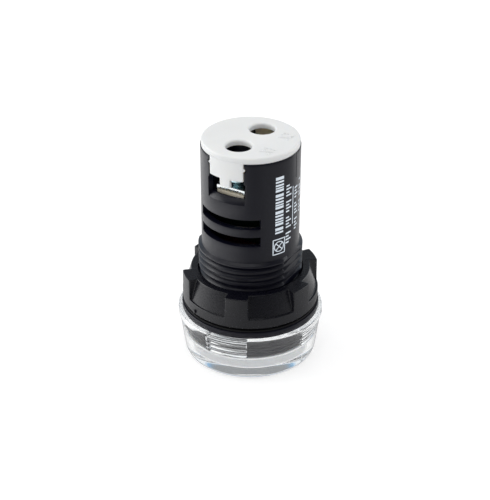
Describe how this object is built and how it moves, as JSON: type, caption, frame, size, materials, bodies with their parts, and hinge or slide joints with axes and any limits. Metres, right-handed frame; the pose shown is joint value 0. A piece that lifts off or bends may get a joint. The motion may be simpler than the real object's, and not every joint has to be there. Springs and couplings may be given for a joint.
{
  "type": "panel pilot light",
  "caption": "Round panel pilot light with a clear screw-on lens, threaded black barrel, castellated panel nut and screw terminals under a white snap-in cover.",
  "frame": {"origin": "centre of the flat front face of the lens, which the light stands on", "axes": "+Z along the barrel from the lens to the screw terminals; -Y towards the X1 wire window, +Y towards the X2 wire window"},
  "size_m": [0.03, 0.03, 0.0483],
  "materials": {
    "black_plastic": "fine matt moulded nylon",
    "nut_plastic": "matt moulded nylon",
    "gasket_rubber": "soft matt rubber",
    "white_plastic": "satin white polycarbonate",
    "clear_plastic": "polished clear polycarbonate",
    "diffuser_plastic": "milky translucent polycarbonate",
    "white_board": "white solder mask",
    "green_board": "green solder mask on glass epoxy",
    "tinned_wire": "tin plated",
    "capacitor_case": "flame retardant potting case",
    "can_aluminium": "sleeved aluminium can",
    "moulded_epoxy": "black epoxy",
    "resistor_lacquer": "blue lacquer",
    "led_package": "white package with yellow phosphor",
    "brass_strip": "bright stamped brass",
    "zinc_plate": "bright zinc plated steel",
    "zinc_screw": "blue passivated zinc plated steel"
  },
  "bodies": {
    "body": {"housing": "black_plastic", "gasket": "gasket_rubber", "terminal_cover": "white_plastic", "led_board": "white_board", "led_1": "led_package", "led_2": "led_package", "led_3": "led_package", "led_4": "led_package", "led_5": "led_package", "led_6": "led_package", "driver_board": "green_board", "board_pins": "tinned_wire", "dropper_capacitor": "capacitor_case", "smoothing_capacitor": "can_aluminium", "bridge_rectifier": "moulded_epoxy", "resistor_1": "resistor_lacquer", "resistor_2": "resistor_lacquer", "terminal_plate_x1": "brass_strip", "terminal_plate_x2": "brass_strip"},
    "nut": {"panel_nut": "nut_plastic"},
    "diffuser": {"lens_diffuser": "diffuser_plastic"},
    "lens": {"lens": "clear_plastic"},
    "clamp_x1": {"clamp_plate_x1": "zinc_plate"},
    "screw_x1": {"terminal_screw_x1": "zinc_screw"},
    "clamp_x2": {"clamp_plate_x2": "zinc_plate"},
    "screw_x2": {"terminal_screw_x2": "zinc_screw"}
  },
  "joints": [
    {"name": "nut_travel", "type": "slide", "parent": "body", "child": "nut", "axis": [0, 0, 1], "range_m": [-0.0004, 0.0362]},
    {"name": "lens_travel", "type": "slide", "parent": "body", "child": "diffuser", "axis": [0, 0, -1], "range_m": [0, 0.006]},
    {"name": "lens_turn", "type": "hinge", "parent": "diffuser", "child": "lens", "pos_m": [0, 0, 0], "axis": [0, 0, -1], "range_deg": [0, 1801]},
    {"name": "clamp_lift_x1", "type": "slide", "parent": "body", "child": "clamp_x1", "axis": [0, 0, 1], "range_m": [0, 0.003]},
    {"name": "screw_turn_x1", "type": "hinge", "parent": "clamp_x1", "child": "screw_x1", "pos_m": [0, -0.0045, 0.0404], "axis": [0, 0, 1], "range_deg": [0, 2161]},
    {"name": "clamp_lift_x2", "type": "slide", "parent": "body", "child": "clamp_x2", "axis": [0, 0, 1], "range_m": [0, 0.003]},
    {"name": "screw_turn_x2", "type": "hinge", "parent": "clamp_x2", "child": "screw_x2", "pos_m": [0, 0.0045, 0.0404], "axis": [0, 0, 1], "range_deg": [0, 2161]}
  ],
  "couplings": [
    {"joint": "lens_turn", "follows": "lens_travel", "rad_per_m": 5236},
    {"joint": "screw_turn_x1", "follows": "clamp_lift_x1", "rad_per_m": 12566},
    {"joint": "screw_turn_x2", "follows": "clamp_lift_x2", "rad_per_m": 12566}
  ]
}
